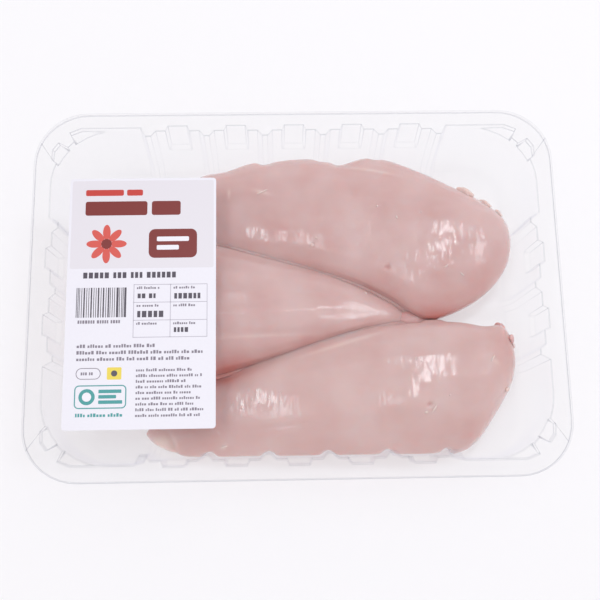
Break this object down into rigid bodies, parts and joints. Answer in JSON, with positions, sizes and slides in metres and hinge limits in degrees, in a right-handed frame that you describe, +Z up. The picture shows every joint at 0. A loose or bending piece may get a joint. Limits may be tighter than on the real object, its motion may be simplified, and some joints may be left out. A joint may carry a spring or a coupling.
{
  "type": "sealed tray of raw chicken breasts",
  "caption": "Clear ribbed food tray sealed with a clear lid film and a paper label, holding plump raw skinless chicken breasts laid head to tail.",
  "frame": {"origin": "middle of the underside of the tray, on the surface that the pack lies on", "axes": "+X along the tray's long side, away from the label; +Y across it, towards the back breast; +Z up, out of the tray through the lid film"},
  "size_m": [0.265, 0.188, 0.0446],
  "materials": {
    "tray_plastic": "clear thermoformed polyester",
    "lid_film": "clear taut film",
    "label_paper": "satin coated paper",
    "raw_meat": "moist raw poultry, soft gloss"
  },
  "bodies": {
    "root": {"tray": "tray_plastic", "lid_film": "lid_film", "label": "label_paper", "breast_back": "raw_meat", "breast_middle": "raw_meat", "breast_front": "raw_meat"}
  },
  "joints": []
}
